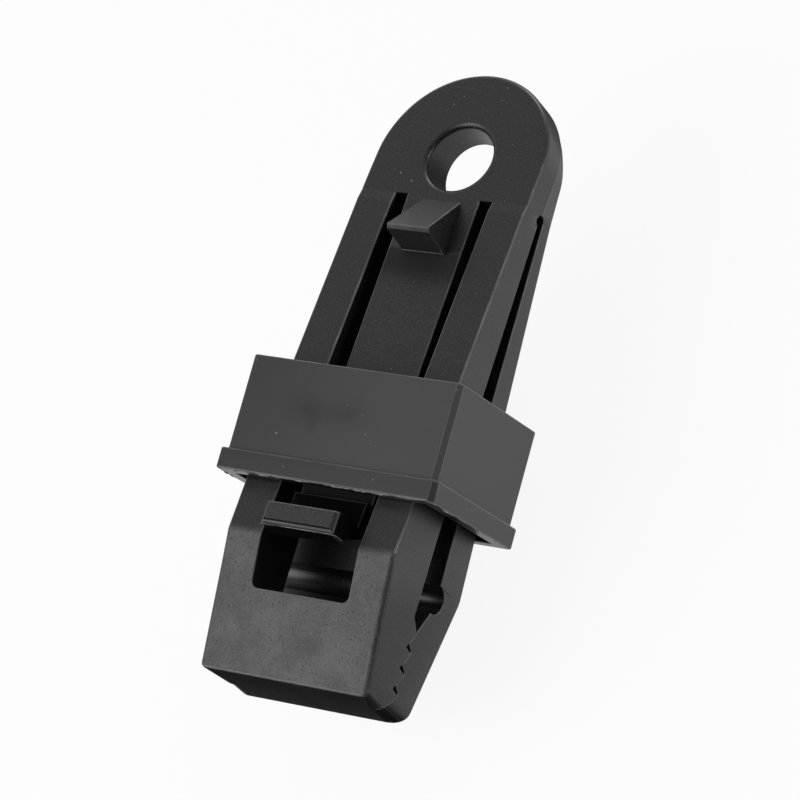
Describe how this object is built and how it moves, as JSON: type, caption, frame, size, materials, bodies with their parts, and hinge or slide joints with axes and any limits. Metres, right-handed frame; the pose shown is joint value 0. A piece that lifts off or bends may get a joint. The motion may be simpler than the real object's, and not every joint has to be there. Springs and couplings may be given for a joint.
{
  "type": "tarp clip",
  "caption": "Tarp clip with toothed jaws that bend on webs under a holed head, a spring tongue with nub and latch tab, and a flanged sliding collar that shuts the jaws.",
  "frame": {"origin": "centre of the rope hole, halfway through the head", "axes": "+X across the body to its right seen from the front, +Y along the body towards the head's round end, +Z out of the front face, along the rope hole"},
  "size_m": [0.039, 0.1001, 0.0287],
  "materials": {
    "body_plastic": "matt moulded black, fine spark texture",
    "collar_plastic": "matt moulded black, smoother"
  },
  "bodies": {
    "head": {"head": "body_plastic", "front_webs": "body_plastic", "rear_web": "body_plastic", "tongue_web": "body_plastic"},
    "front_jaw": {"front_jaw": "body_plastic"},
    "rear_jaw": {"rear_jaw": "body_plastic"},
    "tongue": {"tongue": "body_plastic"},
    "collar": {"collar": "collar_plastic"}
  },
  "joints": [
    {"name": "collar_slide", "type": "slide", "parent": "head", "child": "collar", "axis": [0, 0.9938, 0.111], "range_m": [0, 0.022]},
    {"name": "front_jaw_flex", "type": "hinge", "parent": "head", "child": "front_jaw", "pos_m": [0, -0.00815, 0.0017], "axis": [-1, 0, 0], "range_deg": [0, 3.8], "deforming": ["front_webs"]},
    {"name": "rear_jaw_flex", "type": "hinge", "parent": "head", "child": "rear_jaw", "pos_m": [0, -0.00815, -0.0036], "axis": [1, 0, 0], "range_deg": [0, 7.6], "deforming": ["rear_web"]},
    {"name": "tongue_press", "type": "hinge", "parent": "head", "child": "tongue", "pos_m": [0, -0.00815, 0.0021], "axis": [1, 0, 0], "range_deg": [0, 5.5], "stiffness_Nm_per_rad": 0.4, "deforming": ["tongue_web"]}
  ],
  "couplings": [
    {"joint": "front_jaw_flex", "follows": "collar_slide", "rad_per_m": 3},
    {"joint": "rear_jaw_flex", "follows": "collar_slide", "rad_per_m": 6}
  ]
}
